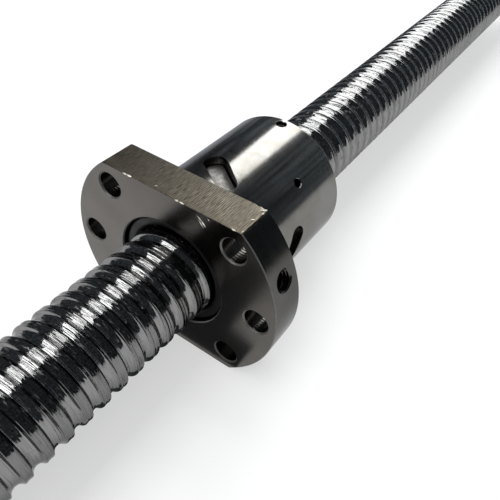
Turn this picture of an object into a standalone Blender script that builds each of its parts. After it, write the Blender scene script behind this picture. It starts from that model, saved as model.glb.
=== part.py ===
"""A ball screw with a flanged single nut and four internal ball circuits.

The screw lies along X and the flange's flats face up and down. The origin is on the
screw's axis, halfway along its whole length. The nut stands near the screw's left end.
An angle round the axis is measured from +Y towards +Z, so 90 degrees is the top.
"""

import math

import bmesh
import bpy
from mathutils import Matrix, Vector

# Screw
LEAD = 0.005
BALL_DIAMETER = 0.003175
BALL_CIRCLE_RADIUS = 0.0128
LAND_BELOW_CIRCLE = 0.00055
THREAD_LENGTH = 0.380
GROOVE_CLEARANCE = 0.0001
THREAD_CHAMFER = 0.0015

# Journals of the screw: the fixed bearing's end is on the left, the support bearing's on the right
JOURNAL_RADIUS = 0.0085
SEAT_LENGTH = 0.044
LOCKNUT_THREAD_STEP = 0.0002
LOCKNUT_THREAD_LENGTH = 0.017
DRIVE_RADIUS = 0.006
DRIVE_LENGTH = 0.023
SUPPORT_LENGTH = 0.018
RING_GROOVE_DEPTH = 0.0004
RING_GROOVE_WIDTH = 0.00115
RING_GROOVE_INSET = 0.0018
END_CHAMFER = 0.0006
CENTRE_DRILL_RADIUS = 0.002
JOURNAL_ROOT = 0.006

# Nut: its wall is from the ball circle to its outside, and the flange's width from there to its rim
FLANGE_FROM_THREAD_END = 0.080
NUT_WALL = 0.0072
FLANGE_WIDTH = 0.011
FLANGE_THICKNESS = 0.010
FLAT_DEPTH = 0.007
EDGE_CHAMFER = 0.0005
BORE_CLEARANCE = 0.00035
NUT_GROOVE_CLEARANCE = 0.00016

# Bolt holes and oil port in the flange
BOLT_HOLE_RADIUS = 0.0033
BOLT_HOLE_CHAMFER = 0.0006
BOLT_ANGLES = (-45, 0, 45, 135, 180, 225)
OIL_PORT_RADIUS = 0.0025
OIL_PORT_CHAMFER = 0.0005
OIL_PORT_ANGLE = 157.5
OIL_PORT_DEPTH = 0.012
OIL_DRILL_RADIUS = 0.00125

# Wipers and the grub screws that hold them
WIPER_WIDTH = 0.00265
WIPER_SEAT_DEPTH = 0.0065
SEAT_CHAMFER = 0.0003
WIPER_RECESS = 0.0012
WIPER_LIP_CLEARANCE = 0.0004
WIPER_LIP_WIDTH = 0.0012
WIPER_GROOVE_DEPTH = 0.0010
GRUB_RADIUS = 0.0015
GRUB_INSET = 0.003
GRUB_RECESS = 0.0008
GRUB_SOCKET_RADIUS = 0.00075
GRUB_SOCKET_DEPTH = 0.0012

# Ball circuits: each one lies further along and further round than the last, and the nut's length follows
CIRCUITS = 4
DEFLECTOR_FROM_FLANGE = 0.0098
DEFLECTOR_FROM_WIPER_SEAT = 0.00595
DEFLECTOR_STEP_TURNS = 0.25
DEFLECTOR_STEP_LEADS = 1.25
FIRST_DEFLECTOR_ANGLE = 90
DEFLECTOR_LENGTH = 0.0150
DEFLECTOR_WIDTH = 0.0060
DEFLECTOR_TILT = 35
DEFLECTOR_RECESS = 0.0012
CROSSING_HALF_ANGLE = 27
CHANNEL_REACH = 1.3
BALL_PITCH_SHARE = 0.95
BALL_SHOULDER_SHARE = 0.5
RETURN_BALLS = 4

# Breather hole in the nut's side
SIDE_HOLE_FROM_DEFLECTOR = 0.015
SIDE_HOLE_ANGLE = 134.5
SIDE_HOLE_RADIUS = 0.00125

# Facets round each kind of round form
THREAD_SIDES = 12
BODY_SIDES = 40
RING_SIDES = 24
JOURNAL_SIDES = 16
HOLE_SIDES = 12
CHANNEL_SIDES = 8
CHANNEL_STEPS = 12
SLOT_END_SIDES = 6
BALL_SIDES = 6
WAY_SAMPLES = 400
SHARP_ANGLE = math.radians(35)

GAP = 0.0003
CUTTER_OVERRUN = 0.001
CUTTER_TURN = math.radians(3.1)
OVERRUN_TURNS = 2
MERGE_DISTANCE = 0.00001

BALL_RADIUS = BALL_DIAMETER / 2
CREST_RADIUS = BALL_CIRCLE_RADIUS - LAND_BELOW_CIRCLE
LOCKNUT_THREAD_RADIUS = JOURNAL_RADIUS - LOCKNUT_THREAD_STEP
RING_GROOVE_RADIUS = JOURNAL_RADIUS - RING_GROOVE_DEPTH
NUT_RADIUS = BALL_CIRCLE_RADIUS + NUT_WALL
FLANGE_RADIUS = NUT_RADIUS + FLANGE_WIDTH
FLAT_HEIGHT = FLANGE_RADIUS - FLAT_DEPTH
BOLT_CIRCLE_RADIUS = (NUT_RADIUS + FLANGE_RADIUS) / 2
WIPER_SEAT_RADIUS = CREST_RADIUS + WIPER_LIP_CLEARANCE + WIPER_WIDTH + GAP
FIRST_DEFLECTOR = FLANGE_THICKNESS + DEFLECTOR_FROM_FLANGE
LAST_DEFLECTOR = FIRST_DEFLECTOR + LEAD * DEFLECTOR_STEP_LEADS * (CIRCUITS - 1)
NUT_LENGTH = LAST_DEFLECTOR + DEFLECTOR_FROM_WIPER_SEAT + WIPER_SEAT_DEPTH
SCREW_LENGTH = SEAT_LENGTH + LOCKNUT_THREAD_LENGTH + DRIVE_LENGTH + THREAD_LENGTH + SUPPORT_LENGTH
THREAD_START = -SCREW_LENGTH / 2 + SEAT_LENGTH + LOCKNUT_THREAD_LENGTH + DRIVE_LENGTH
THREAD_END = THREAD_START + THREAD_LENGTH
FLANGE_FACE = THREAD_START + FLANGE_FROM_THREAD_END
GROOVE_RADIUS = BALL_RADIUS + GROOVE_CLEARANCE
ROOT_RADIUS = BALL_CIRCLE_RADIUS - GROOVE_RADIUS
BORE_RADIUS = CREST_RADIUS + BORE_CLEARANCE
CHANNEL_RADIUS = BALL_RADIUS + GAP
CROSSING_RADIUS = CREST_RADIUS + CHANNEL_RADIUS
GROOVE_AT_TOP = FLANGE_FACE + FIRST_DEFLECTOR - LEAD / 2


def clear_scene():
    for obj in list(bpy.data.objects):
        bpy.data.objects.remove(obj)


def make_collection(name):
    collection = bpy.data.collections.new(name)
    bpy.context.scene.collection.children.link(collection)
    return collection


def make_material(name, colour, metallic, roughness):
    material = bpy.data.materials.new(name)
    material.use_nodes = True
    shader = material.node_tree.nodes["Principled BSDF"]
    shader.inputs["Base Color"].default_value = (*colour, 1)
    shader.inputs["Metallic"].default_value = metallic
    shader.inputs["Roughness"].default_value = roughness
    return material


def around(radius, angle, x=0.0):
    """The point at this angle in degrees round the screw's axis."""
    return Vector((x, radius * math.cos(math.radians(angle)), radius * math.sin(math.radians(angle))))


def place(mesh, name, collection, parent=None, material=None):
    obj = bpy.data.objects.new(name, mesh)
    collection.objects.link(obj)
    if parent:
        obj.parent = parent
        obj.matrix_parent_inverse = parent.matrix_world.inverted()
    if material:
        mesh.materials.append(material)
    if collection is cutters:
        obj.hide_render = True
        obj.display_type = "WIRE"
    return obj


def shade_smooth(collection):
    """Puts each piece's finished mesh in place of its modifiers, and shades its round faces smooth."""
    bpy.context.view_layer.update()
    graph = bpy.context.evaluated_depsgraph_get()
    finished = {
        obj: bpy.data.meshes.new_from_object(obj.evaluated_get(graph), depsgraph=graph)
        for obj in collection.objects
        if obj.type == "MESH"
    }
    for obj, mesh in finished.items():
        obj.modifiers.clear()
        obj.data = mesh
        mesh.shade_smooth()
        mesh.set_sharp_from_angle(angle=SHARP_ANGLE)


def facing_out(bm):
    bmesh.ops.recalc_face_normals(bm, faces=bm.faces)


def mesh_from(bm, name):
    mesh = bpy.data.meshes.new(name)
    bm.to_mesh(mesh)
    bm.free()
    return mesh


def add_turned(name, outline, steps, collection, parent=None, material=None, ring=False):
    """A solid whose (height, radius) outline a Screw modifier turns about local Z.

    The outline runs down the outer side from the top to the bottom. A cutter starts a little
    round from the solids, so that its corners don't meet theirs.
    """
    mesh = bpy.data.meshes.new(name)
    count = len(outline)
    edges = [(i, (i + 1) % count) for i in range(count if ring else count - 1)]
    start = CUTTER_TURN if collection is cutters else 0
    across, aside = math.cos(start), math.sin(start)
    mesh.from_pydata([(radius * across, radius * aside, height) for height, radius in outline], edges, [])
    obj = place(mesh, name, collection, parent, material)
    turn = obj.modifiers.new("turn", "SCREW")
    turn.axis = "Z"
    turn.steps = steps
    turn.render_steps = steps
    turn.use_merge_vertices = True
    turn.merge_threshold = MERGE_DISTANCE
    turn.use_smooth_shade = False
    return obj


def along_screw(obj, x, way=1):
    """Lays an object's local Z along the screw's axis or, with way -1, against it, with its origin at x."""
    obj.rotation_euler = (0, way * math.pi / 2, 0)
    obj.location = (x, 0, 0)


def boolean(obj, other, operation):
    modifier = obj.modifiers.new(other.name, "BOOLEAN")
    modifier.operation = operation
    modifier.solver = "EXACT"
    modifier.object = other
    return obj


def cut(obj, *others):
    for other in others:
        boolean(obj, other, "DIFFERENCE")


def outside(radius, sides):
    """The corner radius of a polygon that goes round a circle of this radius."""
    return radius / math.cos(math.pi / sides)


def groove_profile():
    """One lead of the screw's thread: (distance along the axis, radius) from land to land.

    The flanks touch a circle a little larger than the ball.
    """
    depth = BALL_CIRCLE_RADIUS - CREST_RADIUS
    half_width = math.sqrt(GROOVE_RADIUS**2 - depth**2)
    edge_angle = math.atan2(depth, half_width)
    flank_circle = (GROOVE_RADIUS + BALL_RADIUS) / 2
    touch_angle = edge_angle + math.acos(flank_circle / GROOVE_RADIUS)
    root_half_width = (flank_circle - GROOVE_RADIUS * math.sin(touch_angle)) / math.cos(touch_angle)
    return (
        (-half_width, CREST_RADIUS),
        (-root_half_width, ROOT_RADIUS),
        (root_half_width, ROOT_RADIUS),
        (half_width, CREST_RADIUS),
    )


def add_thread(name, collection, material):
    """The threaded rod: the groove's profile carried round and along, one lead in a turn."""
    profile = groove_profile()
    steps = len(profile)
    first_turn = math.floor((THREAD_START - GROOVE_AT_TOP) / LEAD) - OVERRUN_TURNS
    turns = math.ceil(THREAD_LENGTH / LEAD) + 2 * OVERRUN_TURNS
    bm = bmesh.new()
    columns = []
    for side in range(THREAD_SIDES):
        share = side / THREAD_SIDES
        column = []
        for turn in range(turns + (side == 0)):
            centre = GROOVE_AT_TOP + (first_turn + turn + share) * LEAD
            for offset, radius in profile:
                column.append(bm.verts.new(around(radius, 90 + 360 * share, centre + offset)))
        columns.append(column)
    columns.append(columns[0][steps:])
    rows = turns * steps
    for left, right in zip(columns[:-1], columns[1:]):
        for row in range(rows - 1):
            bm.faces.new((left[row], left[row + 1], right[row + 1], right[row]))
    for row, step in ((0, -1), (rows - 1, 1)):
        rim = [column[row] for column in columns[:-1]] + [columns[0][row + i] for i in range(steps, 0, -1)]
        tip = bm.verts.new((rim[0].co.x + step * LEAD, 0, 0))
        for first, second in zip(rim, rim[1:] + rim[:1]):
            bm.faces.new((first, second, tip))
    facing_out(bm)
    return place(mesh_from(bm, name), name, collection, None, material)


def make_screw():
    screw = add_thread("screw_shaft", parts, steel_ground)
    half = THREAD_LENGTH / 2
    wide = CREST_RADIUS + CUTTER_OVERRUN
    narrow = CREST_RADIUS - THREAD_CHAMFER
    envelope_outline = (
        (half, 0),
        (half, narrow),
        (half - THREAD_CHAMFER - CUTTER_OVERRUN, wide),
        (-half + THREAD_CHAMFER + CUTTER_OVERRUN, wide),
        (-half, narrow),
        (-half, 0),
    )
    envelope = add_turned("thread_envelope", envelope_outline, JOURNAL_SIDES, cutters)
    along_screw(envelope, (THREAD_START + THREAD_END) / 2)
    boolean(screw, envelope, "INTERSECT")

    seat = THREAD_START - SEAT_LENGTH
    locknut = seat - LOCKNUT_THREAD_LENGTH
    drive = locknut - DRIVE_LENGTH
    fixed_outline = (
        (THREAD_START + JOURNAL_ROOT, 0),
        (THREAD_START + JOURNAL_ROOT, JOURNAL_RADIUS),
        (seat, JOURNAL_RADIUS),
        (seat, LOCKNUT_THREAD_RADIUS),
        (locknut + END_CHAMFER, LOCKNUT_THREAD_RADIUS),
        (locknut, LOCKNUT_THREAD_RADIUS - END_CHAMFER),
        (locknut, DRIVE_RADIUS),
        (drive + END_CHAMFER, DRIVE_RADIUS),
        (drive, DRIVE_RADIUS - END_CHAMFER),
        (drive, CENTRE_DRILL_RADIUS),
        (drive + CENTRE_DRILL_RADIUS * math.sqrt(3), 0),
    )
    support = THREAD_END + SUPPORT_LENGTH
    ring_groove = support - RING_GROOVE_INSET
    support_outline = (
        (support - CENTRE_DRILL_RADIUS * math.sqrt(3), 0),
        (support, CENTRE_DRILL_RADIUS),
        (support, JOURNAL_RADIUS - END_CHAMFER),
        (support - END_CHAMFER, JOURNAL_RADIUS),
        (ring_groove, JOURNAL_RADIUS),
        (ring_groove, RING_GROOVE_RADIUS),
        (ring_groove - RING_GROOVE_WIDTH, RING_GROOVE_RADIUS),
        (ring_groove - RING_GROOVE_WIDTH, JOURNAL_RADIUS),
        (THREAD_END - JOURNAL_ROOT, JOURNAL_RADIUS),
        (THREAD_END - JOURNAL_ROOT, 0),
    )
    for name, outline in (("fixed_end", fixed_outline), ("support_end", support_outline)):
        end = add_turned(name, outline, JOURNAL_SIDES, cutters)
        along_screw(end, 0)
        boolean(screw, end, "UNION")
    return screw


def path_mesh(name, points, radius, sides, closed=False, shares=None):
    """A tube round a line of points, as a mesh; shares scales its radius at each point."""
    curve = bpy.data.curves.new(name, "CURVE")
    curve.dimensions = "3D"
    curve.bevel_depth = radius
    curve.bevel_resolution = sides // 2 - 2
    curve.use_fill_caps = True
    spline = curve.splines.new("POLY")
    spline.points.add(len(points) - 1)
    for index, (target, point) in enumerate(zip(spline.points, points)):
        target.co = (*point, 1)
        target.radius = shares[index] if shares else 1
    spline.use_cyclic_u = closed
    obj = bpy.data.objects.new(name, curve)
    bpy.context.scene.collection.objects.link(obj)
    bpy.context.view_layer.update()
    graph = bpy.context.evaluated_depsgraph_get()
    mesh = bpy.data.meshes.new_from_object(obj.evaluated_get(graph), depsgraph=graph)
    bpy.data.objects.remove(obj)
    bm = bmesh.new()
    bm.from_mesh(mesh)
    bmesh.ops.remove_doubles(bm, verts=bm.verts, dist=MERGE_DISTANCE)
    facing_out(bm)
    bm.to_mesh(mesh)
    bm.free()
    return mesh


def helix_point(angle, radius):
    """A point in the middle of the screw's groove, at this angle in degrees."""
    return around(radius, angle, GROOVE_AT_TOP + LEAD * (angle - 90) / 360)


def crossing_point(circuit, share):
    """A point of a ball's way over the land: share runs from -1 to 1 through the deflector."""
    deflector_angle = FIRST_DEFLECTOR_ANGLE + 360 * DEFLECTOR_STEP_TURNS * circuit
    centre = FLANGE_FACE + FIRST_DEFLECTOR + LEAD * DEFLECTOR_STEP_LEADS * circuit
    half_step = LEAD / 2 - LEAD * CROSSING_HALF_ANGLE / 360
    angle = deflector_angle + CROSSING_HALF_ANGLE * share
    if abs(share) > 1:
        side = math.copysign(1, share)
        x = centre - side * half_step + LEAD * CROSSING_HALF_ANGLE * (share - side) / 360
        return around(BALL_CIRCLE_RADIUS, angle, x)
    lift = math.cos(share * math.pi / 2) ** 2
    radius = BALL_CIRCLE_RADIUS + (CROSSING_RADIUS - BALL_CIRCLE_RADIUS) * lift
    return around(radius, angle, centre - half_step * math.sin(share * math.pi / 2))


def circuit_point(circuit, share):
    """A point of the whole circuit: -1 to 1 is the crossing, the rest is the loaded turn."""
    if share <= 1:
        return crossing_point(circuit, share)
    start = crossing_point(circuit, 1)
    deflector_angle = FIRST_DEFLECTOR_ANGLE + 360 * DEFLECTOR_STEP_TURNS * circuit
    turned_by = CROSSING_HALF_ANGLE * (share - 1)
    x = start.x + LEAD * turned_by / 360
    return around(BALL_CIRCLE_RADIUS, deflector_angle + CROSSING_HALF_ANGLE * share, x)


def walk(circuit, first, last):
    """Points along a stretch of a circuit, with the distance to each."""
    shares = [first + (last - first) * i / WAY_SAMPLES for i in range(WAY_SAMPLES + 1)]
    points = [circuit_point(circuit, share) for share in shares]
    distances = [0.0]
    for before, after in zip(points, points[1:]):
        distances.append(distances[-1] + (after - before).length)
    return points, distances


def point_at(points, distances, distance):
    for index in range(1, len(points)):
        if distances[index] >= distance:
            share = (distance - distances[index - 1]) / (distances[index] - distances[index - 1])
            return points[index - 1].lerp(points[index], share)
    return points[-1]


def add_ball_string(name, circuit, first, last, count):
    """Balls in a row along a stretch of the circuit, each fused to the next at a thin neck."""
    points, distances = walk(circuit, first, last)
    pitch = BALL_DIAMETER * BALL_PITCH_SHARE
    start = (distances[-1] - pitch * (count - 1)) / 2
    way, shares = [], []
    for ball in range(count):
        centre = start + pitch * ball
        for offset in (-BALL_PITCH_SHARE, -BALL_SHOULDER_SHARE, BALL_SHOULDER_SHARE):
            way.append(point_at(points, distances, centre + offset * BALL_RADIUS))
            shares.append(math.sqrt(1 - offset**2))
    way.append(point_at(points, distances, centre + BALL_PITCH_SHARE * BALL_RADIUS))
    shares.append(math.sqrt(1 - BALL_PITCH_SHARE**2))
    mesh = path_mesh(name, way, BALL_RADIUS, BALL_SIDES, shares=shares)
    return place(mesh, name, parts, nut_axis, steel_balls)


def pill(length, width, low, high, name):
    """A round-ended bar: its outline in local XY, raised from low to high along local Z."""
    bm = bmesh.new()
    straight = (length - width) / 2
    outline = []
    for side in (1, -1):
        for step in range(SLOT_END_SIDES + 1):
            end = around(width / 2, -90 + 180 * step / SLOT_END_SIDES)
            outline.append((side * (straight + end.y), side * end.z))
    face = bm.faces.new([bm.verts.new((x, y, low)) for x, y in outline])
    grown = bmesh.ops.extrude_face_region(bm, geom=[face])
    for item in grown["geom"]:
        if isinstance(item, bmesh.types.BMVert):
            item.co.z = high
    facing_out(bm)
    return mesh_from(bm, name)


def deflector_matrix(circuit):
    """Local Z points out of the nut and local X lies along the deflector."""
    angle = math.radians(FIRST_DEFLECTOR_ANGLE + 360 * DEFLECTOR_STEP_TURNS * circuit)
    tilt = math.radians(DEFLECTOR_TILT)
    axial = Vector((1, 0, 0))
    outward = Vector((0, math.cos(angle), math.sin(angle)))
    round_about = Vector((0, -math.sin(angle), math.cos(angle)))
    long_way = math.cos(tilt) * round_about - math.sin(tilt) * axial
    short_way = math.sin(tilt) * round_about + math.cos(tilt) * axial
    matrix = Matrix((long_way, short_way, outward)).transposed().to_4x4()
    matrix.translation = (FLANGE_FACE + FIRST_DEFLECTOR + LEAD * DEFLECTOR_STEP_LEADS * circuit, 0, 0)
    return matrix


def add_pill(name, length, width, low, high, circuit, collection, parent=None, material=None):
    mesh = pill(length, width, low, high, name)
    mesh.transform(deflector_matrix(circuit))
    return place(mesh, name, collection, parent, material)


def make_circuit(circuit, nut):
    number = circuit + 1
    slot = add_pill(
        f"slot_{number}",
        DEFLECTOR_LENGTH,
        DEFLECTOR_WIDTH,
        BORE_RADIUS / 2,
        NUT_RADIUS + CUTTER_OVERRUN,
        circuit,
        cutters,
    )
    shares = [CHANNEL_REACH * (2 * i / CHANNEL_STEPS - 1) for i in range(CHANNEL_STEPS + 1)]
    way = [crossing_point(circuit, share) for share in shares]
    channel_mesh = path_mesh(f"channel_{number}", way, outside(CHANNEL_RADIUS, CHANNEL_SIDES), CHANNEL_SIDES)
    channel = place(channel_mesh, f"channel_{number}", cutters)
    cut(nut, slot)

    deflector = add_pill(
        f"deflector_{number}",
        DEFLECTOR_LENGTH - 2 * GAP,
        DEFLECTOR_WIDTH - 2 * GAP,
        BORE_RADIUS / 2,
        NUT_RADIUS,
        circuit,
        parts,
        nut_axis,
        steel_deflector,
    )
    boolean(deflector, deflector_ring, "INTERSECT")
    cut(deflector, channel)

    add_ball_string(f"return_balls_{number}", circuit, -1, 1, RETURN_BALLS)
    loaded_end = 360 / CROSSING_HALF_ANGLE - 1
    turn_length = walk(circuit, 1, loaded_end)[1][-1]
    loaded = math.floor((turn_length - GAP) / (BALL_DIAMETER * BALL_PITCH_SHARE))
    add_ball_string(f"loaded_balls_{number}", circuit, 1, loaded_end, loaded)


def add_drill(name, outline, steps, direction, start):
    """A turned cutter whose local Z points along a direction from a start point."""
    cutter = add_turned(name, outline, steps, cutters)
    cutter.rotation_euler = Vector(direction).to_track_quat("Z", "Y").to_euler()
    cutter.location = start
    return cutter


def chamfered_hole(radius, chamfer, low, high):
    """The outline of a hole's cutter from low to high, opened out at both of its mouths."""
    return (
        (high + CUTTER_OVERRUN, 0),
        (high + CUTTER_OVERRUN, radius + chamfer + CUTTER_OVERRUN),
        (high - chamfer, radius),
        (low + chamfer, radius),
        (low - CUTTER_OVERRUN, radius + chamfer + CUTTER_OVERRUN),
        (low - CUTTER_OVERRUN, 0),
    )


def make_nut():
    back = NUT_LENGTH
    seat = outside(WIPER_SEAT_RADIUS, BODY_SIDES)
    blank_outline = (
        (back, seat + SEAT_CHAMFER),
        (back, NUT_RADIUS - EDGE_CHAMFER),
        (back - EDGE_CHAMFER, NUT_RADIUS),
        (FLANGE_THICKNESS, NUT_RADIUS),
        (FLANGE_THICKNESS, FLANGE_RADIUS - EDGE_CHAMFER),
        (FLANGE_THICKNESS - EDGE_CHAMFER, FLANGE_RADIUS),
        (EDGE_CHAMFER, FLANGE_RADIUS),
        (0, FLANGE_RADIUS - EDGE_CHAMFER),
        (0, seat + SEAT_CHAMFER),
        (SEAT_CHAMFER, seat),
        (WIPER_SEAT_DEPTH, seat),
        (WIPER_SEAT_DEPTH, ROOT_RADIUS),
        (back - WIPER_SEAT_DEPTH, ROOT_RADIUS),
        (back - WIPER_SEAT_DEPTH, seat),
        (back - SEAT_CHAMFER, seat),
    )
    nut = add_turned("nut_body", blank_outline, BODY_SIDES, parts, nut_axis, steel_ground, ring=True)
    along_screw(nut, FLANGE_FACE)

    for side, name in ((1, "top_flat"), (-1, "bottom_flat")):
        bm = bmesh.new()
        bmesh.ops.create_cube(bm, size=1)
        depth = FLAT_DEPTH + CUTTER_OVERRUN
        size = (FLANGE_THICKNESS + 2 * CUTTER_OVERRUN, 2 * FLANGE_RADIUS, depth)
        bmesh.ops.scale(bm, vec=size, verts=bm.verts)
        flat = place(mesh_from(bm, name), name, cutters)
        flat.location = (FLANGE_FACE + FLANGE_THICKNESS / 2, 0, side * (FLAT_HEIGHT + depth / 2))
        cut(nut, flat)

    reach = WIPER_SEAT_DEPTH - CUTTER_OVERRUN
    corner = outside(BORE_RADIUS, THREAD_SIDES)
    bore_outline = ((back - reach, 0), (back - reach, corner), (reach, corner), (reach, 0))
    bore = add_turned("nut_bore", bore_outline, THREAD_SIDES, cutters)
    along_screw(bore, FLANGE_FACE)
    cut(nut, bore)

    start_angle = 90 + 360 * (WIPER_SEAT_DEPTH - LEAD / 2 + FLANGE_FACE - GROOVE_AT_TOP) / LEAD
    steps = round(THREAD_SIDES * ((NUT_LENGTH - 2 * WIPER_SEAT_DEPTH) / LEAD + 1))
    radius = outside(BALL_CIRCLE_RADIUS, THREAD_SIDES)
    way = [helix_point(start_angle + 360 * step / THREAD_SIDES, radius) for step in range(steps + 1)]
    tube_radius = outside(BALL_RADIUS + NUT_GROOVE_CLEARANCE, CHANNEL_SIDES)
    groove = place(path_mesh("nut_groove", way, tube_radius, CHANNEL_SIDES), "nut_groove", cutters)
    cut(nut, groove)

    for index, angle in enumerate(BOLT_ANGLES):
        outline = chamfered_hole(BOLT_HOLE_RADIUS, BOLT_HOLE_CHAMFER, 0, FLANGE_THICKNESS)
        centre = around(BOLT_CIRCLE_RADIUS, angle, FLANGE_FACE)
        cut(nut, add_drill(f"bolt_hole_{index + 1}", outline, HOLE_SIDES, (1, 0, 0), centre))

    port_x = FLANGE_FACE + FLANGE_THICKNESS / 2
    port_outline = (
        (FLANGE_RADIUS + CUTTER_OVERRUN, 0),
        (FLANGE_RADIUS + CUTTER_OVERRUN, OIL_PORT_RADIUS + OIL_PORT_CHAMFER + CUTTER_OVERRUN),
        (FLANGE_RADIUS - OIL_PORT_CHAMFER, OIL_PORT_RADIUS),
        (FLANGE_RADIUS - OIL_PORT_DEPTH, OIL_PORT_RADIUS),
        (FLANGE_RADIUS - OIL_PORT_DEPTH - OIL_PORT_RADIUS / 2, 0),
    )
    port = add_drill("oil_port", port_outline, HOLE_SIDES, around(1, OIL_PORT_ANGLE), (port_x, 0, 0))
    drill_start = around(FLANGE_RADIUS - OIL_PORT_DEPTH + OIL_DRILL_RADIUS, OIL_PORT_ANGLE, port_x)
    drill_reach = (drill_start.yz.length - BORE_RADIUS + 2 * OIL_DRILL_RADIUS) * math.sqrt(2)
    slope = Vector((1, 0, 0)) - around(1, OIL_PORT_ANGLE)
    drill_outline = ((drill_reach, 0), (drill_reach, OIL_DRILL_RADIUS), (0, OIL_DRILL_RADIUS), (0, 0))
    drill = add_drill("oil_drill", drill_outline, HOLE_SIDES, slope, drill_start)
    side_reach = NUT_RADIUS + CUTTER_OVERRUN
    side_outline = (
        (side_reach, 0),
        (side_reach, SIDE_HOLE_RADIUS),
        (BORE_RADIUS - CUTTER_OVERRUN, SIDE_HOLE_RADIUS),
        (BORE_RADIUS - CUTTER_OVERRUN, 0),
    )
    side_x = FLANGE_FACE + FIRST_DEFLECTOR + SIDE_HOLE_FROM_DEFLECTOR
    side_hole = add_drill("side_hole", side_outline, HOLE_SIDES, around(1, SIDE_HOLE_ANGLE), (side_x, 0, 0))
    cut(nut, port, drill, side_hole)
    return nut


def make_wiper(name, nut_face, into_nut):
    """A plain ring in its seat. into_nut is 1 where the nut lies at higher x than the face, and else -1."""
    width = WIPER_SEAT_DEPTH - WIPER_RECESS - GAP
    outer = WIPER_SEAT_RADIUS - GAP
    inner = outside(outer - WIPER_WIDTH, RING_SIDES)
    groove = GRUB_INSET - WIPER_RECESS
    half = GRUB_RADIUS + GAP
    outline = (
        (width - WIPER_LIP_WIDTH, inner),
        (width, inner + EDGE_CHAMFER),
        (width, outer),
        (groove + half, outer),
        (groove, outer - WIPER_GROOVE_DEPTH - GAP),
        (groove - half, outer),
        (EDGE_CHAMFER, outer),
        (0, outer - EDGE_CHAMFER),
        (0, inner),
    )
    wiper = add_turned(name, outline, RING_SIDES, parts, wiper_axis, black_plastic, ring=True)
    along_screw(wiper, nut_face + into_nut * WIPER_RECESS, into_nut)
    return wiper


def make_grub(name, from_face, angle, top, nut):
    """A grub screw with its point in the wiper's groove, and the hole it sits in."""
    point = WIPER_SEAT_RADIUS - GAP - WIPER_GROOVE_DEPTH
    head = top - GRUB_RECESS
    x = FLANGE_FACE + from_face
    outline = (
        (head - GRUB_SOCKET_DEPTH, 0),
        (head - GRUB_SOCKET_DEPTH, GRUB_SOCKET_RADIUS),
        (head, GRUB_SOCKET_RADIUS),
        (head, GRUB_RADIUS - GAP),
        (point + GRUB_RADIUS, GRUB_RADIUS - GAP),
        (point + GAP, 0),
    )
    grub = add_turned(name, outline, HOLE_SIDES, parts, nut_axis, dark_steel)
    grub.rotation_euler = around(1, angle).to_track_quat("Z", "Y").to_euler()
    grub.location = (x, 0, 0)
    hole_outline = (
        (top + CUTTER_OVERRUN, 0),
        (top + CUTTER_OVERRUN, GRUB_RADIUS),
        (WIPER_SEAT_RADIUS - CUTTER_OVERRUN, GRUB_RADIUS),
        (WIPER_SEAT_RADIUS - CUTTER_OVERRUN, 0),
    )
    cut(nut, add_drill(f"{name}_hole", hole_outline, HOLE_SIDES, around(1, angle), (x, 0, 0)))
    return grub


clear_scene()
parts = make_collection("ball_screw")
cutters = make_collection("cutters")
steel_ground = make_material("ground steel", (0.62, 0.62, 0.61), 1.0, 0.22)
steel_balls = make_material("ball steel", (0.80, 0.80, 0.80), 1.0, 0.05)
steel_deflector = make_material("deflector steel", (0.70, 0.69, 0.66), 1.0, 0.35)
dark_steel = make_material("blackened steel", (0.06, 0.06, 0.06), 1.0, 0.45)
black_plastic = make_material("black plastic", (0.015, 0.015, 0.017), 0.0, 0.45)

wiper_axis = bpy.data.objects.new("wiper_axis", None)
nut_axis = bpy.data.objects.new("nut_axis", None)
for axis in (wiper_axis, nut_axis):
    parts.objects.link(axis)
wiper_axis.location = (FLANGE_FACE, 0, 0)
nut_axis.parent = wiper_axis
bpy.context.view_layer.update()

make_screw()
the_nut = make_nut()
ring_outline = (
    (NUT_LENGTH, outside(BORE_RADIUS, RING_SIDES)),
    (NUT_LENGTH, NUT_RADIUS - DEFLECTOR_RECESS),
    (0, NUT_RADIUS - DEFLECTOR_RECESS),
    (0, outside(BORE_RADIUS, RING_SIDES)),
)
deflector_ring = add_turned("deflector_ring", ring_outline, RING_SIDES, cutters, ring=True)
along_screw(deflector_ring, FLANGE_FACE)
for number in range(CIRCUITS):
    make_circuit(number, the_nut)
make_wiper("wiper_front", FLANGE_FACE, 1)
make_wiper("wiper_rear", FLANGE_FACE + NUT_LENGTH, -1)
make_grub("grub_screw_front", GRUB_INSET, 270, FLAT_HEIGHT, the_nut)
make_grub("grub_screw_rear_top", NUT_LENGTH - GRUB_INSET, 90, NUT_RADIUS, the_nut)
make_grub("grub_screw_rear_bottom", NUT_LENGTH - GRUB_INSET, 270, NUT_RADIUS, the_nut)
shade_smooth(parts)
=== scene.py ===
"""The looks of a ball screw with a flanged nut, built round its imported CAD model.

Lengths are in metres, in the CAD model's frame: the screw lies along X with its axis at y = z = 0.
An angle round the axis is measured from +Y towards +Z, so 90 degrees is the top.
"""

import math

import bmesh
import bpy
from mathutils import Matrix, Vector


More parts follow.
